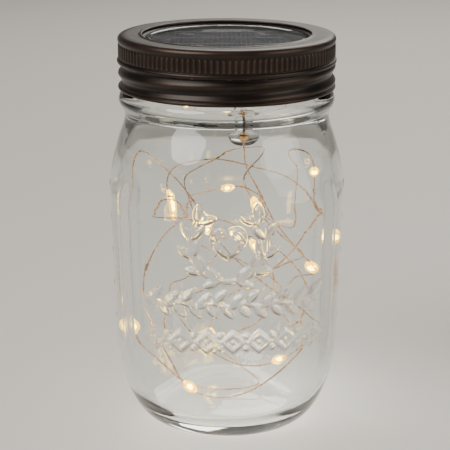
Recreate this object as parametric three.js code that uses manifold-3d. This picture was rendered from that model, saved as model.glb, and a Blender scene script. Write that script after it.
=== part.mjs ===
// Mason jar lantern: a glass jar with a screw band that clamps a solar light insert,
// whose string of small lamps hangs in the jar. Millimetres, +Z up, origin under the
// middle of the base, front of the jar towards -Y.
import * as THREE from 'three';
import { mergeVertices } from 'three/addons/utils/BufferGeometryUtils.js';
import Module from 'manifold-3d';

const wasm = await Module();
wasm.setup();

// ---- driving dimensions -------------------------------------------------------------
const GAP = 0.3;                 // clearance between touching pieces
const ROUND = 40;                // facets round the jar and the band
const TOTAL_HEIGHT = 136;        // table to the top of the band
const BODY_RADIUS = 40.2;        // half the width across the flat panels, at the shoulder
const FOOT_RADIUS = 38.8;        // the same, just above the heel
const PANEL_POWER = 2.45;        // 2 is a round body, more is squarer
const HEEL_HEIGHT = 34;
const REST_RING = [22.5, 25];    // inner and outer radius of the ring that stands on the table
const WALL = 2.9;
const FLOOR = 5.6;               // height of the inside floor at its edge
const FLOOR_RADIUS = 24;         // where the inside floor starts to curve up
const NECK_BORE = 30.2;          // inner radius of the neck
const RIM_Z = 132;               // sealing rim of the glass
const THREAD_ROOT = 33.4;
const THREAD_RISE = 1.5;
const THREAD_HALF_WIDTH = 1.5;
const THREAD_LEAD = 5.08;        // five turns to the inch
const THREAD_START_Z = 120.5;    // height of the thread's middle at its lower end
const THREAD_TURNS = 1.25;

const BAND_BOTTOM = 117.8;
const BAND_OUTER = 37;
const BAND_BORE = 35.6;          // inner radius above the rolled thread
const BAND_OPENING = 28.6;
const BAND_LIP = 0.8;            // thickness of the lip over the insert
const ROLL_OUTER = 36.35;        // middle of the rolled thread, outside and inside
const ROLL_INNER = 35.1;
const ROLL_DEPTH = 0.6;
const ROLL_ZONE = [118.6, 127.4];

const FLANGE_RADIUS = 35;
const FLANGE_TOP = TOTAL_HEIGHT - BAND_LIP - GAP;
const FLANGE_BOTTOM = 133.6;
const CUP_RADIUS = 27.6;
const CUP_WALL = 1.5;
const CUP_BOTTOM = 117.1;
const PLATE = [131.2, 132.4];    // the plate that closes the cup under the solar panel
const PANEL_RADIUS = 27.1;
const COVER = [115.3, 116.8];
const BOSS_CIRCLE = 22.5;
const BOSS_ANGLES = [90, 210, 330];
const BOSS_RADIUS = 2.6;
const SCREW_BORE = 1.5;
const BATTERY_LENGTH = 44.5;     // an AAA cell
const BATTERY_RADIUS = 5.25;
const BATTERY_AT = [0.4, 5.5, 124.6];
const BOARD_Z = [120.2, 121.4];
const SWITCH_AT = [-8, -11.5];
const GLAND_AT = [5.5, -13];
const GLAND_TIP = 101.3;
const GLAND_RIM = 106.4;         // top of the gland's bowl, under its stem

const WIRE_RADIUS = 0.3;         // over the twisted pair
const WIRE_SIDES = 8;
const BEAD_LENGTH = 6.4;
const BEAD_RADIUS = 1.6;
const BEAD_SIDES = 6;
const LAMPS = 16;
const LAMP_LEAD = 50;            // wire from the gland to the first lamp
const LAMP_SPACING = 100;
const LAMP_STEP = 4;             // straight wire each way from a lamp's middle

// The light string's route inside the jar, from the gland's tip: points that a smooth
// curve runs through.
const ROUTE = [
  [5.5, -13, 101], [7.5, -14.5, 91], [19, -19.5, 73], [29, -17, 58], [26, -2, 50],
  [22, 2, 38], [27, -12, 29], [15, -20, 19], [0, -21.5, 12.5], [-14, -17, 15],
  [-22, -16, 28], [-30, -3, 44], [-29, 15, 57], [-15, 28, 69], [5, 27, 75],
  [21, 23, 65], [27.5, 9, 66], [26, 10, 84], [21, 0, 96], [27, -10, 97],
  [31, -4, 84], [33, 6, 71], [30, 19, 55], [17, 27, 40], [0, 29, 32],
  [-9, 23, 20], [6, 18, 9.5], [14, 2, 8.8], [0, -5, 8.2], [-17, -1, 10.5],
  [-30, -4, 25], [-33.5, -7, 44], [-34, -6, 65], [-33, -7, 84], [-28.5, -11, 98],
  [-20, -19, 93], [-10.5, -24, 82], [-3, -26, 71], [9, -29, 60], [23, -25, 48],
  [31, -14, 38], [34, 1, 45], [34, -1, 60], [33, -6, 73], [22, -14, 87],
  [9, -12, 93], [-5, -1, 94], [-18, 13, 87], [-24, 15, 70], [-14, 22, 55],
  [7, 26, 48], [25, 18, 40], [30, 4, 25], [17, -8, 20], [1, -16, 24],
  [-15, -13, 35], [-22, -7, 48], [-14, -18, 56], [-3, -19, 66], [-13, -9, 76],
  [-15, 8, 83], [-1, 18, 92], [13, 8, 96], [6, -12, 87], [19, -13, 70],
  [28, -5, 60], [26, 10, 52], [12, 19, 43], [-4, 21, 40], [-20, 16, 36],
  [-25, 1, 33], [-18, -11, 28], [-6, -22, 35], [11, -25, 42], [18, -14, 52],
  [12, -14, 64], [1, -17, 75], [-15, -19, 77], [-27, -5, 74], [-22, 8, 73],
  [-12, 18, 64], [4, 22, 58], [19, 23, 56], [31, 12, 46], [30, 14, 28],
  [16, 27, 18], [-4, 27, 15], [-20, 15, 12]
];

// ---- helpers ------------------------------------------------------------------------
const TURN = 2 * Math.PI;
const radians = THREE.MathUtils.degToRad;
const smooth = THREE.MathUtils.smoothstep;

function steps(low, high, count) {
  return Array.from({ length: count }, (_, i) => low + ((high - low) * i) / (count - 1));
}

/** A solid of revolution about Z, from [radius, height] points listed up the outside. */
function revolve(profile, sides = ROUND) {
  const points = profile.map(([r, z]) => new THREE.Vector2(r, z));
  return new THREE.LatheGeometry(points, sides).rotateX(Math.PI / 2);
}

/** The same for a closed outline, such as a ring. */
function revolveRing(profile, sides = ROUND) {
  return revolve([...profile, profile[0]], sides);
}

/** Moves each point of a round solid in or out: newRadius(radius, angle, height). */
function reshape(geometry, newRadius) {
  const place = geometry.getAttribute('position');
  for (let i = 0; i < place.count; i += 1) {
    const [x, y, z] = [place.getX(i), place.getY(i), place.getZ(i)];
    const radius = Math.hypot(x, y);
    if (radius > 1e-6) {
      const scale = newRadius(radius, Math.atan2(y, x), z) / radius;
      place.setXY(i, x * scale, y * scale);
    }
  }
  return geometry;
}

function circlePath(x, y, radius) {
  const path = new THREE.Path();
  path.absarc(x, y, radius, 0, TURN, true);
  return path;
}

function disc(radius) {
  const shape = new THREE.Shape();
  shape.absarc(0, 0, radius, 0, TURN, false);
  return shape;
}

/** A rectangle about a point, with corners cut off at 45 degrees. */
function plateShape(x, y, width, depth, corner = 0.5) {
  const [w, d] = [width / 2, depth / 2];
  const outline = [
    [w, -d + corner], [w, d - corner], [w - corner, d], [corner - w, d],
    [-w, d - corner], [-w, corner - d], [corner - w, -d], [w - corner, -d],
  ];
  return new THREE.Shape(outline.map(([px, py]) => new THREE.Vector2(x + px, y + py)));
}

/** A flat shape pulled up from one height to another. */
function pullUp(shape, [low, high], curveSegments = 12) {
  const geometry = new THREE.ExtrudeGeometry(shape, {
    depth: high - low, bevelEnabled: false, curveSegments,
  });
  return geometry.translate(0, 0, low);
}

/** A closed geometry as a manifold solid, with shared corners merged and empty faces gone. */
function toSolid(geometry) {
  const bare = geometry.clone();
  bare.deleteAttribute('normal');
  bare.deleteAttribute('uv');
  const merged = mergeVertices(bare, 1e-4);
  const index = merged.getIndex().array;
  const faces = [];
  for (let i = 0; i < index.length; i += 3) {
    const [a, b, c] = [index[i], index[i + 1], index[i + 2]];
    if (a !== b && b !== c && c !== a) faces.push(a, b, c);
  }
  return new wasm.Manifold(new wasm.Mesh({
    numProp: 3,
    vertProperties: Float32Array.from(merged.getAttribute('position').array),
    triVerts: Uint32Array.from(faces),
  }));
}

function fromSolid(solid) {
  const mesh = solid.getMesh();
  const geometry = new THREE.BufferGeometry();
  geometry.setAttribute('position', new THREE.Float32BufferAttribute(mesh.vertProperties, 3));
  geometry.setIndex([...mesh.triVerts]);
  geometry.computeVertexNormals();
  return geometry;
}

function finish(color, roughness, metalness = 0, more = {}) {
  return new THREE.MeshStandardMaterial({ color, roughness, metalness, ...more });
}

const FINISHES = {
  glass: finish(0xf4f7f5, 0.03, 0, { transparent: true, opacity: 0.3 }),
  band: finish(0x17120f, 0.42, 0.9),
  rubber: finish(0xd9d4c8, 0.7),
  plastic: finish(0x121212, 0.55),
  cell: finish(0x0a1230, 0.3, 0.2),
  resin: finish(0xe6ecf2, 0.08, 0, { transparent: true, opacity: 0.35 }),
  steel: finish(0xb8b8b4, 0.3, 1),
  sleeve: finish(0x2f6f3a, 0.4),
  board: finish(0x1d5a33, 0.5),
  chip: finish(0x1a1a1c, 0.6),
  ferrite: finish(0x3b3a3c, 0.8),
  copper: finish(0xb87333, 0.35, 0.9),
  lamp: finish(0xffe2a8, 0.2, 0, { emissive: 0xffb545 }),
};

const lantern = new THREE.Group();

function add(parent, name, geometry, material) {
  const mesh = new THREE.Mesh(geometry, material);
  mesh.name = name;
  parent.add(mesh);
  return mesh;
}

// ---- the screw thread that the jar and the band share ----------------------------------
/** Height of the thread's middle at an angle, on its lowest pass. */
function threadHeight(angle) {
  const turned = (angle + TURN) % TURN;
  return THREAD_START_Z + (THREAD_LEAD * turned) / TURN;
}

/** How far the glass thread stands out of the neck at an angle and a height. */
function glassThread(angle, z) {
  let rise = 0;
  for (const pass of [0, 1]) {
    const turns = (threadHeight(angle) - THREAD_START_Z) / THREAD_LEAD + pass;
    const off = (z - THREAD_START_Z - turns * THREAD_LEAD) / THREAD_HALF_WIDTH;
    const ends = smooth(turns, 0, 0.08) * (1 - smooth(turns, THREAD_TURNS - 0.08, THREAD_TURNS));
    rise = Math.max(rise, THREAD_RISE * ends * Math.max(0, 1 - off * off));
  }
  return rise;
}

/** The rolled wave of the band, in line with the glass thread. */
function rolledThread(angle, z) {
  const phase = (TURN * (z - threadHeight(angle))) / THREAD_LEAD;
  const [low, high] = ROLL_ZONE;
  const inZone = smooth(z, low, low + 1) * (1 - smooth(z, high - 1, high));
  return ROLL_DEPTH * inZone * Math.cos(phase);
}

// ---- jar ------------------------------------------------------------------------------
/** The body's four flat panels and round corners, as a factor on its radius. */
function panelFactor(angle, z) {
  const square = (Math.abs(Math.cos(angle)) ** PANEL_POWER
    + Math.abs(Math.sin(angle)) ** PANEL_POWER) ** (-1 / PANEL_POWER);
  const share = smooth(z, 6, 30) * (1 - smooth(z, 82, 100));
  return 1 + share * (square - 1);
}

function jarProfile() {
  const heel = steps(0.25, 1, 6).map((t) => (t * Math.PI) / 2).map((t) => [
    REST_RING[1] + (FOOT_RADIUS - REST_RING[1]) * Math.sin(t),
    HEEL_HEIGHT * (1 - Math.cos(t)),
  ]);
  const innerFoot = FOOT_RADIUS - WALL;
  const innerHeel = steps(1, 0.15, 5).map((t) => (t * Math.PI) / 2).map((t) => [
    FLOOR_RADIUS + (innerFoot - FLOOR_RADIUS) * Math.sin(t),
    FLOOR + (HEEL_HEIGHT - FLOOR) * (1 - Math.cos(t)),
  ]);
  const neck = steps(118.4, 130.4, 10).map((z) => [THREAD_ROOT, z]);
  return [
    [0, 3], [15, 2.2], [REST_RING[0] - 1, 0.5], [REST_RING[0], 0], [REST_RING[1], 0],
    ...heel,
    [39.6, 62], [BODY_RADIUS, 84],
    [39.9, 88.5], [39.2, 93], [38.1, 97.5], [36.7, 102.2], [35.4, 106], [34.9, 109.5],
    [35.7, 111.4], [36.7, 112.6], [36.9, 114.6], [36.2, 116.6], [34.4, 117.5],
    ...neck,
    [33.1, RIM_Z - 0.6], [32.5, RIM_Z], [30.9, RIM_Z], [NECK_BORE, RIM_Z - 0.7],
    [NECK_BORE, 112], [30.6, 108], [32.2, 104], [34.2, 99.5], [36, 94], [36.9, 88.5],
    [BODY_RADIUS - WALL, 82], [39.6 - WALL, 62],
    ...innerHeel,
    [12, FLOOR + 0.2], [0, FLOOR + 0.6],
  ];
}

function makeJar(parent) {
  const jar = reshape(revolve(jarProfile()), (radius, angle, z) => {
    const thread = radius > NECK_BORE + 2.8 && z > 118 ? glassThread(angle, z) : 0;
    return radius * panelFactor(angle, z) + thread;
  });
  add(parent, 'glass_jar', jar, FINISHES.glass);
}

// ---- screw band -----------------------------------------------------------------------
function bandProfile() {
  const rolled = steps(ROLL_ZONE[0] + 0.7, ROLL_ZONE[1] - 0.7, 8);
  const underLip = TOTAL_HEIGHT - BAND_LIP;
  return [
    [BAND_OUTER - 0.3, BAND_BOTTOM], [BAND_OUTER, 118.3], [BAND_OUTER - 0.1, 118.9],
    ...rolled.map((z) => [ROLL_OUTER, z]),
    [BAND_OUTER, 127.4], [BAND_OUTER - 0.1, 128.2], [BAND_OUTER - 0.1, 133.5],
    [36.5, 134.9], [35.7, 135.7], [34.8, TOTAL_HEIGHT], [29, TOTAL_HEIGHT],
    [BAND_OPENING, 135.6], [29, underLip], [BAND_BORE - 0.4, underLip], [BAND_BORE, 134.7],
    [BAND_BORE, 127.4],
    ...rolled.reverse().map((z) => [ROLL_INNER, z]),
    [BAND_BORE, 118.6], [BAND_BORE, BAND_BOTTOM],
  ];
}

function makeBand(parent) {
  const band = reshape(revolveRing(bandProfile()), (radius, angle, z) => {
    const isRolled = Math.min(Math.abs(radius - ROLL_OUTER), Math.abs(radius - ROLL_INNER)) < 1e-3;
    return radius + (isRolled ? rolledThread(angle, z) : 0);
  });
  add(parent, 'screw_band', band, FINISHES.band);
}

// ---- light insert: housing, seal and solar panel ----------------------------------------
function bossPlaces() {
  return BOSS_ANGLES.map(radians).map((angle) => [
    BOSS_CIRCLE * Math.cos(angle),
    BOSS_CIRCLE * Math.sin(angle),
  ]);
}

function makeHousing(parent) {
  const inner = CUP_RADIUS - CUP_WALL;
  const shell = revolve([
    [0, PLATE[0]], [inner, PLATE[0]], [inner, CUP_BOTTOM], [CUP_RADIUS, CUP_BOTTOM],
    [CUP_RADIUS, FLANGE_BOTTOM], [FLANGE_RADIUS, FLANGE_BOTTOM], [FLANGE_RADIUS, FLANGE_TOP],
    [PANEL_RADIUS + GAP, FLANGE_TOP], [PANEL_RADIUS + GAP, PLATE[1]], [0, PLATE[1]],
  ]);
  let housing = toSolid(shell);
  for (const [x, y] of bossPlaces()) {
    const post = new THREE.Shape();
    post.absarc(x, y, BOSS_RADIUS, 0, TURN, false);
    post.holes.push(circlePath(x, y, SCREW_BORE));
    housing = housing.add(toSolid(pullUp(post, [CUP_BOTTOM, PLATE[0] + 0.5], 5)));
  }
  add(parent, 'insert_housing', fromSolid(housing), FINISHES.plastic);
}

function makeGasket(parent) {
  const [low, high] = [RIM_Z + GAP, FLANGE_BOTTOM - GAP];
  const ring = revolveRing([[29, low], [34.3, low], [34.3, high], [29, high]]);
  add(parent, 'seal_gasket', ring, FINISHES.rubber);
}

function makeSolarPanel(parent) {
  const boardTop = PLATE[1] + GAP + 0.6;
  const cellTop = boardTop + GAP + 0.3;
  const windowLow = cellTop + GAP;
  const board = pullUp(disc(PANEL_RADIUS), [PLATE[1] + GAP, boardTop], 20);
  add(parent, 'solar_board', board, FINISHES.board);
  const cell = pullUp(plateShape(0, 0, 38, 38, 5), [boardTop + GAP, cellTop]);
  add(parent, 'solar_cell', cell, FINISHES.cell);
  const window = pullUp(disc(PANEL_RADIUS), [windowLow, FLANGE_TOP], 20);
  add(parent, 'panel_window', window, FINISHES.resin);
}

// ---- light insert: cover, power and electronics ------------------------------------------
function makeCover(parent) {
  const shape = disc(CUP_RADIUS);
  shape.holes.push(circlePath(...GLAND_AT, 3.3));
  const slot = plateShape(SWITCH_AT[0] + 1, SWITCH_AT[1], 8, 3.2).getPoints().reverse();
  shape.holes.push(new THREE.Path(slot));
  for (const [x, y] of bossPlaces()) shape.holes.push(circlePath(x, y, SCREW_BORE));
  add(parent, 'bottom_cover', pullUp(shape, COVER, 16), FINISHES.plastic);
}

function makeScrews(parent) {
  const headTop = COVER[0] - GAP;
  const profile = [
    [0, headTop - 1.4], [1.4, headTop - 1.4], [2.3, headTop - 0.7], [2.3, headTop],
    [1.2, headTop], [1.2, COVER[0] + 8], [0, COVER[0] + 9],
  ];
  bossPlaces().forEach(([x, y], i) => {
    const screw = add(parent, `cover_screw_${i + 1}`, revolve(profile, 10), FINISHES.steel);
    screw.position.set(x, y, 0);
  });
}

function makeBattery(parent) {
  const half = BATTERY_LENGTH / 2;
  const [x, y, z] = BATTERY_AT;
  const cell = revolve([
    [0, -half], [4.6, -half], [BATTERY_RADIUS, 0.5 - half], [BATTERY_RADIUS, half - 1.5],
    [4.7, half - 1], [1.9, half - 1], [1.9, half], [0, half],
  ], 16);
  const battery = add(parent, 'battery_cell', cell.rotateY(Math.PI / 2), FINISHES.sleeve);
  battery.position.set(x, y, z);

  const plate = add(parent, 'positive_contact', new THREE.BoxGeometry(0.5, 7, 9), FINISHES.steel);
  plate.position.set(x + half + GAP + 0.25, y, z);

  const spring = add(parent, 'negative_spring', springGeometry(), FINISHES.steel);
  spring.position.set(x - half - GAP, y, z);
}

/** A flat conical coil that widens away from the battery, along -X. */
function springGeometry() {
  class Coil extends THREE.Curve {
    getPoint(t, target = new THREE.Vector3()) {
      const angle = 2 * TURN * t;
      const radius = 1.5 + 1.7 * t;
      return target.set(-0.3 - 1 * t, radius * Math.cos(angle), radius * Math.sin(angle));
    }
  }
  const section = new THREE.Shape();
  section.absarc(0, 0, 0.22, 0, TURN, false);
  return new THREE.ExtrudeGeometry(section, {
    steps: 22, curveSegments: 3, bevelEnabled: false, extrudePath: new Coil(),
  });
}

/** A moulded trough under the battery, cut out by the cell's own outline. */
function makeTray(parent) {
  const [x, y, z] = BATTERY_AT;
  const outline = new THREE.Shape();
  const reach = BATTERY_RADIUS + GAP;
  outline.moveTo(-reach - 1.2, 0);
  outline.lineTo(-reach - 1.2, -reach - 1.4);
  outline.lineTo(reach + 1.2, -reach - 1.4);
  outline.lineTo(reach + 1.2, 0);
  outline.lineTo(reach, 0);
  outline.absarc(0, 0, reach, 0, Math.PI, true);
  const trough = new THREE.ExtrudeGeometry(outline, {
    depth: 38, bevelEnabled: false, curveSegments: 10,
  });
  trough.rotateX(Math.PI / 2).rotateZ(Math.PI / 2);
  const tray = add(parent, 'battery_tray', trough, FINISHES.plastic);
  tray.position.set(x - 19, y, z);
}

function makeElectronics(parent) {
  const top = BOARD_Z[1] + GAP;
  const board = pullUp(plateShape(0, -12, 31, 14, 1), BOARD_Z);
  add(parent, 'circuit_board', board, FINISHES.board);
  const chip = pullUp(plateShape(-1, -10, 5, 4, 0.3), [top, top + 1.5]);
  add(parent, 'driver_chip', chip, FINISHES.chip);
  const coil = revolve([[0, top], [3, top], [3, top + 4], [0, top + 4]], 12);
  add(parent, 'inductor', coil.translate(9, -12, 0), FINISHES.ferrite);
  const can = revolve([[0, top], [2, top], [2, top + 5.5], [1.6, top + 6], [0, top + 6]], 12);
  add(parent, 'capacitor', can.translate(-10.5, -13, 0), FINISHES.steel);
}

function makeSwitch(parent) {
  const [x, y] = SWITCH_AT;
  const body = pullUp(plateShape(x, y, 9, 4.2, 0.3), [COVER[1] + GAP, BOARD_Z[0] - GAP]);
  add(parent, 'switch_body', body, FINISHES.steel);
  const knob = pullUp(plateShape(x, y, 2.4, 2, 0.2), [COVER[0] - 1.4, COVER[1]]);
  add(parent, 'switch_knob', knob, FINISHES.plastic);
}

/** The clear bowl on a stem where the light string leaves the insert. */
function makeGland(parent) {
  const gland = revolve([
    [0, GLAND_TIP], [2.4, GLAND_TIP], [4, GLAND_TIP + 1], [5, GLAND_TIP + 2.8],
    [5.3, GLAND_RIM], [4.6, GLAND_RIM + 0.6], [2.9, GLAND_RIM + 1.4],
    [2.9, COVER[1] + 1.2], [0, COVER[1] + 1.2],
  ], 20);
  add(parent, 'wire_gland', gland, FINISHES.resin).position.set(...GLAND_AT, 0);
}

// ---- light string ----------------------------------------------------------------------
/** Distances along the string: where its lamps are, and where its tube has corners. */
function stringPlaces() {
  const lamps = [];
  const corners = [0];
  for (let i = 0; i < LAMPS; i += 1) {
    const lamp = LAMP_LEAD + LAMP_SPACING * i;
    const from = corners.at(-1);
    const parts = i === 0 ? 3 : 4;
    for (let k = 1; k <= parts; k += 1) {
      corners.push(from + ((lamp - LAMP_STEP - from) * k) / parts);
    }
    corners.push(lamp + LAMP_STEP);
    lamps.push(lamp);
  }
  return { lamps, corners };
}

/** A finder of points on the smooth route, by distance along it. */
function routeFinder() {
  const curve = new THREE.CatmullRomCurve3(
    ROUTE.map((p) => new THREE.Vector3(...p)), false, 'catmullrom', 0.5,
  );
  curve.arcLengthDivisions = 40 * ROUTE.length;
  const length = curve.getLength();
  return (distance) => curve.getPointAt(distance / length);
}

/** A path whose evenly spaced points are exactly the corners given. */
class CornerPath extends THREE.Curve {
  constructor(corners) {
    super();
    this.corners = corners;
  }

  getPoint(t, target = new THREE.Vector3()) {
    const place = Math.min(t, 1) * (this.corners.length - 1);
    const i = Math.min(Math.floor(place + 1e-9), this.corners.length - 2);
    return target.copy(this.corners[i]).lerp(this.corners[i + 1], place - i);
  }

  getPointAt(u, target) {
    return this.getPoint(u, target);
  }

  getTangentAt(u, target = new THREE.Vector3()) {
    const last = this.corners.length - 1;
    const i = Math.round(u * last);
    const direction = (from) => this.corners[from + 1].clone().sub(this.corners[from]).normalize();
    const before = direction(Math.max(i - 1, 0));
    return target.copy(direction(Math.min(i, last - 1))).add(before).normalize();
  }
}

function beadGeometry() {
  const half = BEAD_LENGTH / 2;
  const bore = WIRE_RADIUS + GAP + 0.15;
  return revolveRing([
    [bore, -half], [1.1, -half], [BEAD_RADIUS, -0.3 * half], [BEAD_RADIUS, 0.3 * half],
    [1.1, half], [bore, half],
  ], BEAD_SIDES);
}

function makeLightString(parent) {
  const pointAt = routeFinder();
  const places = stringPlaces();
  const corners = places.corners.map(pointAt);
  const section = new THREE.Shape();
  section.absarc(0, 0, WIRE_RADIUS, 0, TURN, false);
  const wire = new THREE.ExtrudeGeometry(section, {
    steps: corners.length - 1,
    curveSegments: WIRE_SIDES,
    bevelEnabled: false,
    extrudePath: new CornerPath(corners),
  });
  add(parent, 'light_string_wire', wire, FINISHES.copper);
  const up = new THREE.Vector3(0, 0, 1);
  places.lamps.forEach((lamp, i) => {
    const number = String(i + 1).padStart(2, '0');
    const [before, after] = [pointAt(lamp - LAMP_STEP), pointAt(lamp + LAMP_STEP)];
    const bead = add(parent, `led_bead_${number}`, beadGeometry(), FINISHES.lamp);
    bead.position.copy(before).lerp(after, 0.5);
    bead.quaternion.setFromUnitVectors(up, after.sub(before).normalize());
  });
}

// ---- assembly ----------------------------------------------------------------------------
makeJar(lantern);
makeBand(lantern);

const insert = new THREE.Group();
lantern.add(insert);
makeHousing(insert);
makeGasket(insert);
makeSolarPanel(insert);
makeCover(insert);
makeScrews(insert);
makeBattery(insert);
makeTray(insert);
makeElectronics(insert);
makeSwitch(insert);
makeGland(insert);
makeLightString(lantern);

export default lantern;
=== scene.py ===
"""Looks of the mason jar lantern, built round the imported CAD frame.

Metres, +Z up, front of the jar towards -Y. The jar, the band, the insert's skin and the
light string are modelled here; the small parts inside the insert keep their CAD shapes.
"""

import math

import bpy
import numpy as np
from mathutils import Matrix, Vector


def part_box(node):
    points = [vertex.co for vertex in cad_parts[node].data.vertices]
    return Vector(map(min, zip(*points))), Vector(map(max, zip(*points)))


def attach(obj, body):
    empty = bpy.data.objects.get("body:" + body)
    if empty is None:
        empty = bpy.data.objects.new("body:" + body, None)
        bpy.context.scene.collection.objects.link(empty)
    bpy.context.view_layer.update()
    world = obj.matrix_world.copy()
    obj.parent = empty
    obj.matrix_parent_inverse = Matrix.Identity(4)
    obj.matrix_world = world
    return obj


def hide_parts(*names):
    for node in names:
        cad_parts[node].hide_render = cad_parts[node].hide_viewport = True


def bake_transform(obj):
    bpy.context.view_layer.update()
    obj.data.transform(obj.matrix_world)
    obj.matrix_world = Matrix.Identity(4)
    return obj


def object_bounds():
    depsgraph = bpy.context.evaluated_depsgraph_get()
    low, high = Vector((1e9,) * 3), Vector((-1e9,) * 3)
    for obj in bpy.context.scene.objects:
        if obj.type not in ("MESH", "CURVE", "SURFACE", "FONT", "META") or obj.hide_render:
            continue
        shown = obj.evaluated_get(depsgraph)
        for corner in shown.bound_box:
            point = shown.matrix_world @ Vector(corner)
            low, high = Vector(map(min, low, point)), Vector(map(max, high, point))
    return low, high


MM = 0.001
TURN = 2 * math.pi

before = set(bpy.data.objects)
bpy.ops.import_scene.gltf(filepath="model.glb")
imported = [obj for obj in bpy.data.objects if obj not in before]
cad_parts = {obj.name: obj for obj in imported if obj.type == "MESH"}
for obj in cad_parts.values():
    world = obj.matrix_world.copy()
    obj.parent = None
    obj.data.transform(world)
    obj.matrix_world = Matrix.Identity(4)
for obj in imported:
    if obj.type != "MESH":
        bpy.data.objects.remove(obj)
CAD_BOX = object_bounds()

# ---- driving dimensions, in millimetres unless a heading says otherwise ----------------
TOP = CAD_BOX[1][2] / MM                      # table to the top of the band
BODY_RADIUS = CAD_BOX[1][0] / MM              # half the width across the panels
BAND_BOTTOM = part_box("screw_band")[0][2] / MM
BAND_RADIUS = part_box("screw_band")[1][0] / MM
FLANGE_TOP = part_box("insert_housing")[1][2] / MM
COVER_Z, COVER_TOP = (corner[2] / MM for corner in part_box("bottom_cover"))
WINDOW_LOW, WINDOW_HIGH = (corner[2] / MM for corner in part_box("panel_window"))
CUP_BOTTOM = COVER_TOP + 0.3
GLAND_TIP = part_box("wire_gland")[0][2] / MM
GLAND_AT = (5.5, -13.0)

# jar
FOOT_RADIUS = 38.8
PANEL_POWER = 2.45        # 2 is a round body, more is squarer
INNER_POWER = 2.05        # the inside is rounder, so the glass is thicker in the corners
HEEL_HEIGHT = 34.0
REST_RING = (22.5, 25.0)  # the ring it stands on, inner and outer radius
WALL = 2.9
FLOOR = 5.6               # the inside floor at its edge
FLOOR_RADIUS = 24.0       # where the inside floor starts to curve up
NECK_BORE = 30.2
NECK_FOOT = 118.3         # the thread's wall starts above this
RIM = 132.0

# decoration on the jar: places are across and up, as seen from in front
RELIEF_Z = (18, 96)       # heights between which the outside may carry it
STEM = (1.2, 1.0)         # half width and height of a branch
WREATH_AT = (0.4, 73.0)
WREATH_RADIUS = 12.3
HEART_SIZE = 5.2
LEAFY_ROW = (-28, 30, 52.4)           # start, end and height of its middle
LOZENGE_ROW = (-28, 32, 39.4, 3.3)    # the same, and half its height

# thread
THREAD_ROOT = 33.4
THREAD_RISE = 1.5
THREAD_HALF_WIDTH = 1.5
THREAD_LEAD = 5.08
THREAD_START_Z = 120.5
THREAD_TURNS = 1.25

# screw band
ROLLED_OUT = 36.35        # mean outside radius of the rolled thread
ROLLED_IN = 35.1          # and inside
ROLL = 0.6                # how far the roll goes each way
KNURL_FOOT = 36.5         # radius between two knurls
KNURL_LOW = 128.2
KNURLS = 120
KNURL_DEPTH = 0.5

# insert
CUP_OUT = 27.6
CUP_IN = 26.1
CUP_CEILING = 131.2       # the top of the room for the works
SHELF = 132.4             # carries the solar board
FLANGE_Z = 133.6
GRIP_RIB = 0.18
GLAND_STEM = 2.9
KNOT_WIRE = 0.3

# light string, in metres
LAMPS = 16
LAMP_LEAD = 0.050         # from the gland to the first lamp
LAMP_SPACING = 0.100
LAMP_STEP = 0.004         # each way from a lamp's middle to where its ends point
WIRE_DIAMETER = 0.0006    # over the twisted pair
TWIST_PITCH = 0.0042
STRING_STEP = 0.0008      # between the rings of the wires' meshes

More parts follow.
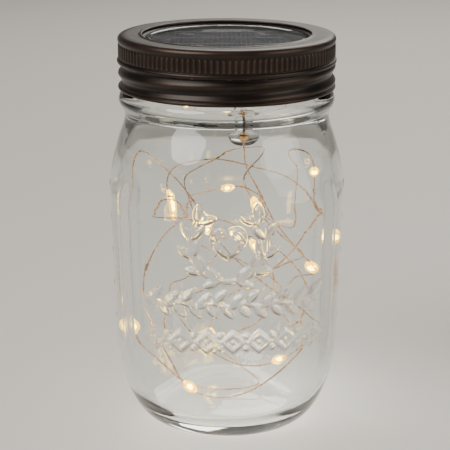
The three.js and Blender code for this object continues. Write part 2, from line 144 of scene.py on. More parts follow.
# The light string's route inside the jar, from the gland's tip, in metres.
ROUTE = [
    (0.0055, -0.013, 0.101), (0.0075, -0.0145, 0.091), (0.019, -0.0195, 0.073),
    (0.029, -0.017, 0.058), (0.026, -0.002, 0.05), (0.022, 0.002, 0.038),
    (0.027, -0.012, 0.029), (0.015, -0.02, 0.019), (0, -0.0215, 0.0125),
    (-0.014, -0.017, 0.015), (-0.022, -0.016, 0.028), (-0.03, -0.003, 0.044),
    (-0.029, 0.015, 0.057), (-0.015, 0.028, 0.069), (0.005, 0.027, 0.075),
    (0.021, 0.023, 0.065), (0.0275, 0.009, 0.066), (0.026, 0.01, 0.084),
    (0.021, 0, 0.096), (0.027, -0.01, 0.097), (0.031, -0.004, 0.084),
    (0.033, 0.006, 0.071), (0.03, 0.019, 0.055), (0.017, 0.027, 0.04),
    (0, 0.029, 0.032), (-0.009, 0.023, 0.02), (0.006, 0.018, 0.0095),
    (0.014, 0.002, 0.0088), (0, -0.005, 0.0082), (-0.017, -0.001, 0.0105),
    (-0.03, -0.004, 0.025), (-0.0335, -0.007, 0.044), (-0.034, -0.006, 0.065),
    (-0.033, -0.007, 0.084), (-0.0285, -0.011, 0.098), (-0.02, -0.019, 0.093),
    (-0.0105, -0.024, 0.082), (-0.003, -0.026, 0.071), (0.009, -0.029, 0.06),
    (0.023, -0.025, 0.048), (0.031, -0.014, 0.038), (0.034, 0.001, 0.045),
    (0.034, -0.001, 0.06), (0.033, -0.006, 0.073), (0.022, -0.014, 0.087),
    (0.009, -0.012, 0.093), (-0.005, -0.001, 0.094), (-0.018, 0.013, 0.087),
    (-0.024, 0.015, 0.07), (-0.014, 0.022, 0.055), (0.007, 0.026, 0.048),
    (0.025, 0.018, 0.04), (0.03, 0.004, 0.025), (0.017, -0.008, 0.02),
    (0.001, -0.016, 0.024), (-0.015, -0.013, 0.035), (-0.022, -0.007, 0.048),
    (-0.014, -0.018, 0.056), (-0.003, -0.019, 0.066), (-0.013, -0.009, 0.076),
    (-0.015, 0.008, 0.083), (-0.001, 0.018, 0.092), (0.013, 0.008, 0.096),
    (0.006, -0.012, 0.087), (0.019, -0.013, 0.07), (0.028, -0.005, 0.06),
    (0.026, 0.01, 0.052), (0.012, 0.019, 0.043), (-0.004, 0.021, 0.04),
    (-0.02, 0.016, 0.036), (-0.025, 0.001, 0.033), (-0.018, -0.011, 0.028),
    (-0.006, -0.022, 0.035), (0.011, -0.025, 0.042), (0.018, -0.014, 0.052),
    (0.012, -0.014, 0.064), (0.001, -0.017, 0.075), (-0.015, -0.019, 0.077),
    (-0.027, -0.005, 0.074), (-0.022, 0.008, 0.073), (-0.012, 0.018, 0.064),
    (0.004, 0.022, 0.058), (0.019, 0.023, 0.056), (0.031, 0.012, 0.046),
    (0.03, 0.014, 0.028), (0.016, 0.027, 0.018), (-0.004, 0.027, 0.015),
    (-0.02, 0.015, 0.012),
]


# ---- camera -----------------------------------------------------------------------------
def make_camera():
    """Looks slightly down on the front of the jar, from half a metre away."""
    data = bpy.data.cameras.new("camera")
    data.sensor_width = 36.0
    data.lens = 121.2
    camera = bpy.data.objects.new("camera", data)
    bpy.context.scene.collection.objects.link(camera)
    distance, elevation = 0.5306, math.radians(16.02)
    sideways, height = -0.0006, 0.0685      # the point it looks at
    camera.location = (
        sideways,
        -distance * math.cos(elevation),
        height + distance * math.sin(elevation),
    )
    camera.rotation_euler = (math.pi / 2 - elevation, 0.0, 0.0)
    bpy.context.scene.camera = camera


# ---- materials ----------------------------------------------------------------------------
class Shader:
    """A material with one Principled shader, and short calls for the nodes that feed it."""

    def __init__(self, name, color, roughness, metallic=0.0, **sockets):
        self.material = bpy.data.materials.new(name)
        self.material.use_nodes = True
        self.tree = self.material.node_tree
        self.shader = self.tree.nodes["Principled BSDF"]
        self.set(self.shader, {
            "Base Color": (*color, 1.0), "Roughness": roughness, "Metallic": metallic, **sockets,
        })

    def feed(self, socket, value):
        """Links an output to a socket, or sets the socket to a value."""
        if isinstance(value, bpy.types.NodeSocket):
            self.tree.links.new(value, socket)
        else:
            socket.default_value = value

    def set(self, node, sockets):
        for name, value in sockets.items():
            self.feed(node.inputs[name], value)

    def node(self, kind, sockets=None, **settings):
        node = self.tree.nodes.new(kind)
        for name, value in settings.items():
            setattr(node, name, value)
        self.set(node, sockets or {})
        return node

    def place(self):
        """The point on the object, in its own metres."""
        return self.node("ShaderNodeTexCoord").outputs["Object"]

    def stretched(self, scale):
        mapping = self.node("ShaderNodeMapping", {"Vector": self.place(), "Scale": scale})
        return mapping.outputs["Vector"]

    def noise(self, scale, detail=3.0, vector=None):
        node = self.node("ShaderNodeTexNoise", {
            "Vector": vector or self.place(), "Scale": scale, "Detail": detail,
        })
        return node.outputs["Fac"]

    def ramp(self, value, stops):
        """Colours along a value: stops are (place, colour)."""
        node = self.node("ShaderNodeValToRGB", {"Fac": value})
        elements = node.color_ramp.elements
        for i, (place, color) in enumerate(stops):
            element = elements[i] if i < len(elements) else elements.new(place)
            element.position = place
            element.color = (*color, 1.0)
        return node.outputs["Color"]

    def span(self, value, low, high, from_low=0.0, from_high=1.0):
        """The value with its range brought to run from low to high."""
        node = self.node("ShaderNodeMapRange", {
            "Value": value, "From Min": from_low, "From Max": from_high,
            "To Min": low, "To Max": high,
        })
        return node.outputs["Result"]

    def mix(self, share, first, second):
        """The first colour turned into the second by a share."""
        node = self.node("ShaderNodeMix", data_type="RGBA")
        sockets = {socket.identifier: socket for socket in node.inputs}
        values = {"Factor_Float": share, "A_Color": first, "B_Color": second}
        for identifier, value in values.items():
            self.feed(sockets[identifier], (*value, 1.0) if isinstance(value, tuple) else value)
        return next(o for o in node.outputs if o.identifier == "Result_Color")

    def math(self, operation, first, second=0.0):
        node = self.node("ShaderNodeMath", operation=operation)
        for socket, value in zip(node.inputs, (first, second)):
            self.feed(socket, value)
        return node.outputs["Value"]

    def color(self, value):
        self.set(self.shader, {"Base Color": value})

    def rough(self, value):
        self.set(self.shader, {"Roughness": value})

    def bump(self, height, distance, strength):
        node = self.node("ShaderNodeBump", {
            "Height": height, "Distance": distance, "Strength": strength,
        })
        self.set(self.shader, {"Normal": node.outputs["Normal"]})


def glass_material():
    """Pressed glass: clear, a little green, with slow waves in its surface."""
    shader = Shader("jar_glass", (0.965, 0.985, 0.972), 0.012,
                    **{"Transmission Weight": 1.0, "IOR": 1.5})
    waves = shader.noise(34.0, 0.0, shader.stretched((1.0, 1.0, 0.45)))
    pits = shader.noise(900.0, 2.0)
    height = shader.math("ADD", waves, shader.math("MULTIPLY", pits, 0.004))
    shader.bump(height, 0.002, 0.6)
    return shader.material


def band_material():
    """Dark oil-rubbed bronze lacquer, worn to a redder brown along its raised edges; that edge
    colour is also painted highlight on the knurls' crowns.
    """
    shader = Shader("bronze_lacquer", (0.012, 0.008, 0.006), 0.4, 0.6,
                    **{"Coat Weight": 0.12, "Coat Roughness": 0.3, "Specular IOR Level": 0.35})
    cloud = shader.noise(90.0, 4.0)
    grain = shader.noise(2600.0, 2.0)
    edges = shader.node("ShaderNodeNewGeometry").outputs["Pointiness"]
    # raised edges such as the knurls' crowns turn redder brown: partly real wear, partly painted
    # highlight
    worn_and_highlit = shader.span(edges, 0.0, 1.0, 0.51, 0.575)
    patchy_wear_and_highlight = shader.math("MULTIPLY", worn_and_highlit, shader.span(cloud, 0.45, 1.0, 0.35, 0.62))
    plain = shader.ramp(cloud, [(0.3, (0.009, 0.0062, 0.0050)), (0.7, (0.019, 0.0125, 0.0092))])
    # the redder brown on the edges is wear and painted highlight together
    shader.color(shader.mix(patchy_wear_and_highlight, plain, (0.13, 0.066, 0.040)))
    shader.rough(shader.span(shader.math("ADD", cloud, grain), 0.32, 0.46, 0.6, 1.4))
    shader.bump(grain, 0.00004, 0.5)
    return shader.material


def plastic_material():
    """Black moulded plastic with a fine spark-eroded texture."""
    shader = Shader("black_plastic", (0.008, 0.008, 0.009), 0.5, **{"Specular IOR Level": 0.3})
    grain = shader.noise(2200.0, 3.0)
    cloud = shader.noise(120.0, 2.0)
    shader.color(shader.ramp(cloud, [(0.3, (0.006, 0.006, 0.0065)), (0.7, (0.011, 0.011, 0.012))]))
    shader.rough(shader.span(cloud, 0.42, 0.58))
    shader.bump(grain, 0.00006, 0.6)
    return shader.material


def rubber_material():
    """Soft pale silicone, a little cloudy."""
    shader = Shader("pale_silicone", (0.62, 0.60, 0.55), 0.6, **{"Subsurface Weight": 0.15})
    cloud = shader.noise(260.0, 3.0)
    shader.color(shader.ramp(cloud, [(0.3, (0.57, 0.55, 0.50)), (0.7, (0.67, 0.65, 0.60))]))
    shader.bump(shader.noise(1800.0, 2.0), 0.00004, 0.5)
    return shader.material


def cell_material():
    """Dark blue silicon with thin silver fingers and two bus bars."""
    shader = Shader("silicon_cell", (0.008, 0.014, 0.05), 0.24, 0.35)
    axes = shader.node("ShaderNodeSeparateXYZ", {"Vector": shader.place()})
    crystals = shader.node("ShaderNodeTexVoronoi", {"Vector": shader.place(), "Scale": 420.0})
    tone = shader.ramp(crystals.outputs["Color"], [
        (0.2, (0.004, 0.008, 0.030)), (0.8, (0.010, 0.020, 0.075)),
    ])
    fingers = stripes(shader, axes.outputs["X"], 1.6 * MM, 0.10)
    bars = stripes(shader, axes.outputs["Y"], 13.0 * MM, 0.07)
    silver = shader.math("MAXIMUM", fingers, bars)
    printed = shader.mix(fingers, tone, (0.05, 0.055, 0.075))
    shader.color(shader.mix(bars, printed, (0.30, 0.31, 0.33)))
    shader.rough(shader.span(silver, 0.22, 0.36))
    shader.bump(silver, 0.00002, 0.4)
    return shader.material


def stripes(shader, along, pitch, share):
    """One on lines a pitch apart that take up a share of it, else nought."""
    turns = shader.math("FRACT", shader.math("ADD", shader.math("DIVIDE", along, pitch), 50.5))
    off = shader.math("ABSOLUTE", shader.math("SUBTRACT", turns, 0.5))
    return shader.math("LESS_THAN", off, share / 2)


def resin_material():
    """Clear potting resin over the cell."""
    shader = Shader("clear_resin", (0.93, 0.95, 0.97), 0.03,
                    **{"Transmission Weight": 1.0, "IOR": 1.45})
    shader.bump(shader.noise(60.0, 2.0), 0.0003, 0.25)
    return shader.material


def board_material():
    """Green solder mask over copper tracks, seen as slightly raised lighter lines."""
    shader = Shader("circuit_board", (0.02, 0.13, 0.05), 0.35)
    cells = shader.node("ShaderNodeTexBrick", {
        "Vector": shader.place(), "Scale": 260.0, "Mortar Size": 0.03,
        "Color1": (0.018, 0.120, 0.045, 1.0), "Color2": (0.024, 0.150, 0.058, 1.0),
        "Mortar": (0.05, 0.24, 0.09, 1.0),
    })
    shader.color(cells.outputs["Color"])
    shader.rough(shader.span(shader.noise(500.0), 0.28, 0.45))
    shader.bump(cells.outputs["Fac"], 0.00003, 0.5)
    return shader.material


def metal_material(name, color, roughness):
    """Bright metal with faint drawn lines and clouded roughness."""
    shader = Shader(name, color, roughness, 1.0)
    lines = shader.noise(700.0, 4.0, shader.stretched((1.0, 1.0, 12.0)))
    shader.rough(shader.span(lines, roughness * 0.75, roughness * 1.35))
    dark = tuple(c * 0.82 for c in color)
    shader.color(shader.ramp(lines, [(0.35, dark), (0.65, color)]))
    shader.bump(lines, 0.00002, 0.35)
    return shader.material


def sleeve_material():
    """The cell's shrink sleeve: plain green with a pale ring round one end."""
    shader = Shader("cell_sleeve", (0.03, 0.16, 0.06), 0.35)
    x = shader.node("ShaderNodeSeparateXYZ", {"Vector": shader.place()}).outputs["X"]
    ring = shader.math("GREATER_THAN", x, 15 * MM)
    can = shader.math("GREATER_THAN", x, 21.2 * MM)
    wrinkles = shader.noise(300.0, 3.0, shader.stretched((0.3, 1.0, 1.0)))
    green = shader.ramp(wrinkles, [(0.3, (0.026, 0.14, 0.05)), (0.7, (0.035, 0.18, 0.07))])
    ringed = shader.mix(ring, green, (0.62, 0.62, 0.60))
    shader.color(shader.mix(can, ringed, (0.50, 0.50, 0.48)))
    shader.set(shader.shader, {"Metallic": can})
    shader.bump(wrinkles, 0.0001, 0.4)
    return shader.material


def dull_material(name, color, scale=900.0):
    """Moulded or sintered stuff with fine speckle."""
    shader = Shader(name, color, 0.62)
    speckle = shader.noise(scale, 3.0)
    dark = tuple(c * 0.75 for c in color)
    shader.color(shader.ramp(speckle, [(0.35, dark), (0.65, tuple(c * 1.2 for c in color))]))
    shader.rough(shader.span(speckle, 0.52, 0.72))
    shader.bump(speckle, 0.00005, 0.5)
    return shader.material


def wire_material():
    """Lacquered copper: bright on the crowns, browner where the lacquer is thick."""
    shader = Shader("copper_wire", (0.72, 0.38, 0.17), 0.24, 1.0,
                    **{"Coat Weight": 0.6, "Coat Roughness": 0.08})
    blotches = shader.noise(450.0, 3.0)
    shader.color(shader.ramp(blotches, [(0.35, (0.62, 0.31, 0.10)), (0.65, (0.92, 0.58, 0.25))]))
    shader.rough(shader.span(blotches, 0.18, 0.34))
    return shader.material


def drop_material():
    """The clear epoxy drop round a lamp, warm all through from the light inside."""
    shader = Shader("lamp_drop", (1.0, 0.72, 0.20), 0.06, **{
        "Transmission Weight": 1.0, "IOR": 1.5,
        "Emission Color": (1.0, 0.66, 0.04, 1.0), "Emission Strength": 1.5,
    })
    shader.bump(shader.noise(500.0, 2.0), 0.0001, 0.4)
    return shader.material


def glow_material():
    """The lit chip and phosphor."""
    shader = Shader("lamp_glow", (1.0, 0.80, 0.45), 0.5, **{
        "Emission Color": (1.0, 0.82, 0.30, 1.0), "Emission Strength": 14.0,
    })
    grains = shader.noise(900.0)
    shader.color(shader.ramp(grains, [(0.3, (1.0, 0.72, 0.34)), (0.7, (1.0, 0.86, 0.55))]))
    return shader.material


# ---- mesh helpers -------------------------------------------------------------------------
def smoothstep(x, low, high):
    """Rises smoothly from nought at low to one at high."""
    t = np.clip((x - low) / (high - low), 0.0, 1.0)
    return t * t * (3.0 - 2.0 * t)


def link(name, vertices, faces, material):
    """A new smooth-shaded mesh piece from vertices in metres."""
    mesh = bpy.data.meshes.new(name)
    mesh.from_pydata(vertices, [], faces)
    mesh.polygons.foreach_set("use_smooth", [True] * len(mesh.polygons))
    mesh.materials.append(material)
    mesh.update()
    piece = bpy.data.objects.new(name, mesh)
    bpy.context.scene.collection.objects.link(piece)
    return piece


def grid_faces(rows, columns, first=0, wrap_rows=False):
    """Quads between rings of points, facing out for rings that go up."""
    i = np.arange(rows if wrap_rows else rows - 1)
    i, j = np.meshgrid(i, np.arange(columns), indexing="ij")
    up, along = (i + 1) % rows, (j + 1) % columns
    corners = [i * columns + j, i * columns + along, up * columns + along, up * columns + j]
    return (np.stack(corners, axis=-1).reshape(-1, 4) + first).tolist()


def smooth_line(points, spacing):
    """Points about a spacing apart on a smooth line through the points given."""
    p = np.array(points, float)
    step = np.linalg.norm(np.diff(p, axis=0), axis=1)
    slope = np.diff(p, axis=0) / step[:, None]
    middle = slope[1:] * step[:-1, None] + slope[:-1] * step[1:, None]
    middle /= (step[1:] + step[:-1])[:, None]
    tangent = np.vstack([slope[:1], middle, slope[-1:]])
    line = []
    for k, length in enumerate(step):
        count = max(1, round(length / spacing))
        t = np.arange(count)[:, None] / count
        line.append(
            (2 * t**3 - 3 * t**2 + 1) * p[k] + (t**3 - 2 * t**2 + t) * length * tangent[k]
            + (3 * t**2 - 2 * t**3) * p[k + 1] + (t**3 - t**2) * length * tangent[k + 1]
        )
    return np.vstack([*line, p[-1:]]).tolist()


def revolve(name, profile, angles, material, move=None, closed=False):
    """A solid of revolution from (radius, height) in millimetres, listed up the outside.

    Open profiles start and end on the axis. move takes the radii, angles and heights of all
    the points and gives their new radii.
    """
    profile = np.array(profile, float)
    body = profile if closed else profile[1:-1]
    radius, angle = np.meshgrid(body[:, 0], angles, indexing="ij")
    height = np.repeat(body[:, 1:2], len(angles), axis=1)
    if move is not None:
        radius = move(radius, angle, height)
    points = np.stack([radius * np.cos(angle), radius * np.sin(angle), height], axis=-1)
    vertices = points.reshape(-1, 3)
    rows, columns = len(body), len(angles)
    faces = grid_faces(rows, columns, wrap_rows=closed)
    if not closed:
        ends = [[0, 0, profile[0, 1]], [0, 0, profile[-1, 1]]]
        vertices = np.vstack([vertices, ends])
        low, high = rows * columns, rows * columns + 1
        top = (rows - 1) * columns
        for j in range(columns):
            k = (j + 1) % columns
            faces.append([low, k, j])
            faces.append([high, top + j, top + k])
    return link(name, (vertices * MM).tolist(), faces, material)


def even_angles(count):
    """Angles that share a whole turn out evenly."""
    return np.arange(count) * TURN / count


# ---- light string --------------------------------------------------------------------------
def route_curve():
    """Close points on the uniform Catmull-Rom curve through the route."""
    p = np.array(ROUTE, float)
    p = np.vstack([2 * p[0] - p[1], p, 2 * p[-1] - p[-2]])
    t = (np.arange(40) / 40)[:, None]
    line = []
    for a, b, c, d in zip(p[:-3], p[1:-2], p[2:-1], p[3:]):
        line.append(0.5 * (
            2 * b + (c - a) * t + (2 * a - 5 * b + 4 * c - d) * t**2
            + (3 * b - a - 3 * c + d) * t**3
        ))
    return np.vstack([*line, p[-2:-1]])


class Route:
    """The string's centreline by distance from the gland, in metres."""

    def __init__(self):
        self.line = route_curve()
        step = np.linalg.norm(np.diff(self.line, axis=0), axis=1)
        self.distance = np.concatenate([[0.0], np.cumsum(step)])

    def at(self, distance):
        axes = [np.interp(distance, self.distance, axis) for axis in self.line.T]
        return np.stack(axes, axis=-1)

    def between(self, start, end, spacing):
        count = max(2, round((end - start) / spacing) + 1)
        return self.at(np.linspace(start, end, count))


def carried_frames(path):
    """Side directions along a path that turn with it as little as they can."""
    along = np.gradient(path, axis=0)
    along /= np.linalg.norm(along, axis=1)[:, None]
    side = np.cross(along[0], [0.3, 0.8, 0.5])
    sides = []
    for direction in along:
        side = side - direction * side.dot(direction)
        side = side / np.linalg.norm(side)
        sides.append(side)
    sides = np.array(sides)
    return sides, np.cross(along, sides)


def strand(path, radius, offset, pitch, phase, sides):
    """Rings of points round one of two wires that twist about a path."""
    right, up = carried_frames(path)
    step = np.linalg.norm(np.diff(path, axis=0), axis=1)
    distance = np.concatenate([[0.0], np.cumsum(step)])
    turn = (TURN * distance / pitch + phase)[:, None]
    middle = path + offset * (np.cos(turn) * right + np.sin(turn) * up)
    a = (np.arange(sides) * TURN / sides)[None, :, None]
    rings = np.cos(a) * right[:, None, :] + np.sin(a) * up[:, None, :]
    return middle[:, None, :] + radius * rings


def twisted_pair(name, path, material):
    """Two lacquered wires twisted about the path, as one mesh."""
    radius, sides = WIRE_DIAMETER * 0.245, 6      # just under a quarter, so they don't touch
    vertices, faces = [], []
    for phase in (0.0, math.pi):
        points = strand(path, radius, WIRE_DIAMETER / 2 - radius, TWIST_PITCH, phase, sides)
        first = len(vertices)
        vertices += points.reshape(-1, 3).tolist()
        faces += [face[::-1] for face in grid_faces(len(path), sides, first)]
        faces.append([first + k for k in range(sides)])
        last = first + (len(path) - 1) * sides
        faces.append([last + k for k in reversed(range(sides))])
    return link(name, vertices, faces, material)


def one_mesh(name, shell, core):
    """A piece and another inside it as one mesh, each part with its own material."""
    both = bpy.data.meshes.new(name)
    vertices, faces, parts = [], [], []
    for part, piece in enumerate((shell, core)):
        offset = len(vertices)
        vertices += [tuple(v.co) for v in piece.data.vertices]
        faces += [tuple(v + offset for v in p.vertices) for p in piece.data.polygons]
        parts += [part] * len(piece.data.polygons)
        both.materials.append(piece.data.materials[0])
        bpy.data.objects.remove(piece)
    both.from_pydata(vertices, [], faces)
    both.polygons.foreach_set("material_index", parts)
    both.polygons.foreach_set("use_smooth", [True] * len(faces))
    return both


def lamp_mesh(name, drop, glow):
    """A drop of epoxy with a lit bead in it, its length along Z, about its own middle."""
    outline = smooth_line([
        (0.0, -3.2), (0.55, -3.0), (0.95, -2.3), (1.45, -1.2), (1.62, 0.0), (1.45, 1.2),
        (0.95, 2.3), (0.55, 3.0), (0.0, 3.2),
    ], 0.45)
    inside = smooth_line([(0.0, -1.1), (0.4, -0.85), (0.55, 0.0), (0.4, 0.85), (0.0, 1.1)], 0.3)
    shell = revolve(name, outline, even_angles(18), drop)
    return one_mesh(name, shell, revolve(name + "_core", inside, even_angles(12), glow))


def make_lamps(route):
    """The lamps along the string, which all share one mesh."""
    mesh = lamp_mesh("lamp", drop_material(), glow_material())
    lamps = []
    for i in range(LAMPS):
        here = LAMP_LEAD + LAMP_SPACING * i
        before, after = route.at(here - LAMP_STEP), route.at(here + LAMP_STEP)
        lamp = bpy.data.objects.new(f"lamp_{i + 1:02d}", mesh)
        bpy.context.scene.collection.objects.link(lamp)
        lamp.location = (before + after) / 2
        lamp.rotation_mode = "QUATERNION"
        lamp.rotation_quaternion = Vector(after - before).to_track_quat("Z", "Y")
        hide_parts(f"led_bead_{i + 1:02d}")
        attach(lamp, "jar")
        lamps.append(lamp)
    return lamps


def make_light_string(copper):
    """The lead down to the first lamp, and the rest."""
    route = Route()
    lamps = make_lamps(route)
    end = LAMP_LEAD + LAMP_SPACING * (LAMPS - 1) + LAMP_STEP
    lead_path = route.between(0.0, LAMP_LEAD, STRING_STEP)
    string_path = route.between(LAMP_LEAD, end, STRING_STEP)
    lead = twisted_pair("string_lead", lead_path, copper)
    string = twisted_pair("light_string", string_path, copper)
    for piece in (lead, string):
        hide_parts("light_string_wire")
    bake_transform(lead)
    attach(string, "jar")


# ---- jar ---------------------------------------------------------------------------------
def ridge(off, half_width, height):
    """A rounded ridge that meets the glass softly; its middle is where off is nought."""
    return height * np.clip(1 - (off / half_width) ** 2, 0, None) ** 1.5


def leaf(u, v, at, angle, length, width, height=1.4):
    """A domed leaf, from its stem end towards an angle."""
    du, dv = u - at[0], v - at[1]
    along = (du * math.cos(angle) + dv * math.sin(angle)) / length
    across = dv * math.cos(angle) - du * math.sin(angle)
    inside = np.clip(along, 0, 1)
    half = width / 2 * np.sin(math.pi * inside**0.85) ** 0.7 + 1e-6
    ends = np.sqrt(np.clip(5 * inside * (1 - inside), 0, 1))
    return height * ends * np.clip(1 - (across / half) ** 2, 0, None) ** 1.5


def berry(u, v, at, radius, height=1.2):
    """A round bead."""
    return ridge(np.hypot(u - at[0], v - at[1]), radius, height)


def heart(u, v, at, size):
    """A raised plain heart with round sides, from its implicit curve and that curve's slope."""
    x, y = (u - at[0]) / size, (v - at[1]) / size
    disc = x**2 + y**2 - 1
    edge = disc**3 - x**2 * y**3
    slope = np.hypot(6 * x * disc**2 - 2 * x * y**3, 6 * y * disc**2 - 3 * x**2 * y**2)
    inward = np.clip(-size * edge / (slope + 1e-6), -9, 9)
    return 1.4 * smoothstep(inward, -0.1, 1.2)


def wreath(u, v, middle, radius):
    """Two leafy branches that curve up from the bottom, open at the top, round a plain heart."""
    around = np.arctan2(v - middle[1], u - middle[0])
    off = np.hypot(u - middle[0], v - middle[1]) - radius
    from_bottom = np.abs(np.angle(np.exp(1j * (around + math.pi / 2))))
    relief = ridge(off, *STEM) * (from_bottom < 2.5)
    for side in (-1, 1):
        for i in range(5):
            here = -math.pi / 2 + side * (0.22 + 0.5 * i)
            spot = (middle[0] + radius * math.cos(here), middle[1] + radius * math.sin(here))
            for lean in (-0.62, 0.62):
                angle = here + side * (math.pi / 2 + lean)
                relief = np.maximum(relief, leaf(u, v, spot, angle, 6.4, 3.5))
    return np.maximum(relief, heart(u, v, (middle[0], middle[1] - 0.3), HEART_SIZE))


def leafy_row(u, v, start, end, height):
    """A wavy stem with leaves above and below it in turn, four to a wave."""
    wave, swing = 10.4, 0.7

    def stem(x):
        return height + swing * np.sin(TURN * (x - start) / wave)

    relief = ridge(v - stem(u), *STEM) * ((u > start) & (u < end))
    count = round(2 * (end - start) / wave) * 2
    for i in range(count):
        x = start + (end - start) * i / count
        up = 1 if i % 2 else -1
        relief = np.maximum(relief, leaf(u, v, (x, stem(x)), up * 0.85, 6.2, 3.5))
    return relief


def lozenge_row(u, v, start, end, height, half_height):
    """A chain of lozenge outlines with a bead in each and a bead between each two."""
    count = round((end - start) / 8.6)
    pitch = (end - start) / count
    half_width, lift = pitch * 0.5 - 1.1, half_height * 0.62
    relief = np.zeros_like(u)
    for i in range(count):
        x = start + pitch * (i + 0.5)
        off = np.abs(u - x) / half_width + np.abs(v - height) / (half_height - 0.5) - 1
        outline = ridge(off * lift, 1.35, 1.2)
        relief = np.maximum.reduce([relief, outline, berry(u, v, (x, height), 1.4)])
        for up in (-1, 1):
            seed = (x + pitch / 2, height + up * lift)
            relief = np.maximum(relief, berry(u, v, seed, 1.5))
    return relief


def side_column(u, v):
    """Leaf pairs and beads, one above the other, down the middle of a side panel."""
    relief = np.zeros_like(u)
    for i, z in enumerate(np.arange(24, 90, 6.0)):
        if i % 2:
            relief = np.maximum(relief, berry(u, v, (0, z), 2.1, 0.32))
            continue
        for side in (-1, 1):
            angle = math.pi / 2 - side * 0.7
            relief = np.maximum(relief, leaf(u, v, (side * 0.3, z - 2.0), angle, 5.6, 3.4, 0.34))
    return relief


def panel_edges(angle, z):
    """Soft upright ribs where the side panels end, towards the front."""
    from_side = np.degrees(np.abs(np.angle(np.exp(2j * angle)))) / 2
    ends = smoothstep(z, 24, 40) * (1 - smoothstep(z, 82, 94)) * (np.sin(angle) < 0)
    return ends * ridge(from_side - 35, 5.0, 1.0)


def panel_share(z):
    """How far the body has its panels at a height: not at all at the foot and the shoulder."""
    return smoothstep(z, 6, 30) * (1 - smoothstep(z, 82, 100))


def panel_factor(angle, z, power=PANEL_POWER):
    """The body's four flat panels and round corners, as a factor on its radius."""
    square = (np.abs(np.cos(angle)) ** power + np.abs(np.sin(angle)) ** power) ** (-1 / power)
    return 1 + panel_share(z) * (square - 1)


def thread_height(angle):
    """Height of the thread's middle in its first turn."""
    return THREAD_START_Z + THREAD_LEAD * np.mod(angle, TURN) / TURN


def glass_thread(angle, z):
    """How far the thread stands out of the neck."""
    rise = np.zeros_like(z)
    fade = 0.08
    for turn in (0, 1):
        turns = np.mod(angle, TURN) / TURN + turn
        off = (z - THREAD_START_Z - turns * THREAD_LEAD) / THREAD_HALF_WIDTH
        ends = smoothstep(turns, 0, fade)
        ends = ends * (1 - smoothstep(turns, THREAD_TURNS - fade, THREAD_TURNS))
        rise = np.maximum(rise, THREAD_RISE * ends * np.clip(1 - off**2, 0, None))
    return rise


def quarter(start, end, centre_r, low, high, spread, count):
    """Part of an upright ellipse, by angle from its lowest point."""
    t = np.linspace(start, end, count)
    return [(centre_r + spread * math.sin(a), low + (high - low) * (1 - math.cos(a))) for a in t]


def jar_outside():
    """From the middle of the base up to the top of the rim."""
    base = smooth_line([(0, 0.45), (9, 0.43), (15, 0.3), (19, 0.16), (REST_RING[0], 0)], 2.0)
    heel = quarter(0.20, math.pi / 2, REST_RING[1], 0, HEEL_HEIGHT, FOOT_RADIUS - REST_RING[1], 22)
    body = smooth_line([
        (FOOT_RADIUS, HEEL_HEIGHT), (39.3, 50), (39.75, 66), (BODY_RADIUS, 83),
    ], 0.42)
    upper = smooth_line([(BODY_RADIUS, 83), (40.15, 85.7), (39.95, 88.5)], 0.4)
    shoulder = smooth_line([
        (39.95, 88.5), (39.2, 93), (38.1, 97.5), (36.7, 102.2), (35.4, 106),
        (34.9, 109.0), (35.2, 110.6), (36.1, 111.9), (36.8, 113.4), (36.8, 114.9), (36.1, 116.3),
        (34.8, 117.3), (33.6, 118.2),
    ], 1.0)
    neck = [(THREAD_ROOT, z) for z in np.arange(118.8, 130.2, 0.5)]
    rim = smooth_line([(THREAD_ROOT, 130.4), (33.1, 131.4), (32.5, RIM), (31.7, RIM)], 0.3)
    return base + heel + body[1:] + upper[1:] + shoulder[1:] + neck + rim


def jar_inside():
    """From the top of the rim down to the middle of the floor."""
    rim = smooth_line([(30.9, RIM), (30.4, RIM - 0.2), (NECK_BORE, RIM - 0.8)], 0.25)
    top, foot = BODY_RADIUS - WALL, FOOT_RADIUS - WALL
    down = smooth_line([
        (NECK_BORE, 130.5), (NECK_BORE, 121), (NECK_BORE, 112), (30.6, 108), (32.2, 104),
        (34.2, 99.5), (36, 94), (36.9, 88.5), (top, 82), (37.0, 70), (36.5, 52),
        (foot, HEEL_HEIGHT),
    ], 2.6)
    heel = quarter(math.pi / 2, 0.12, FLOOR_RADIUS, FLOOR, HEEL_HEIGHT, foot - FLOOR_RADIUS, 16)[1:]
    floor = smooth_line([
        (22, FLOOR + 0.1), (12, FLOOR + 0.2), (5, FLOOR + 0.5), (0, FLOOR + 0.6),
    ], 2.0)
    return rim + down + heel + floor


def jar_angles():
    """Close together across the front panel's relief and the side columns."""
    front = np.degrees(np.arctan2(-BODY_RADIUS, np.arange(-33, 33.2, 0.38)))
    sides = np.degrees(np.arctan2(np.arange(-5.5, 5.6, 0.5), BODY_RADIUS))
    left = 180 - sides[::-1]
    ring = [*front, *np.linspace(front[-1] + 1, sides[0] - 1, 28), *sides,
            *np.linspace(sides[-1] + 2.5, left[0] - 2.5, 44), *left,
            *np.linspace(left[-1] + 1, 360 + front[0] - 1, 28)]
    return np.radians(ring)


def jar_relief(radius, angle, z):
    """Height of the raised decoration at each point of the outside."""
    x, y = radius * np.cos(angle), radius * np.sin(angle)
    front = np.maximum.reduce([
        wreath(x, z, WREATH_AT, WREATH_RADIUS),
        leafy_row(x, z, *LEAFY_ROW),
        lozenge_row(x, z, *LOZENGE_ROW),
    ])
    front = front * (1 - 0.75 * smoothstep(np.abs(x), 14, 27))    # shallower at the panel's ends
    sides = side_column(y, z)
    pattern = np.where(y < -0.5 * radius, front, np.where(np.abs(y) < 0.3 * radius, sides, 0.0))
    return np.maximum(pattern, panel_edges(angle, z))


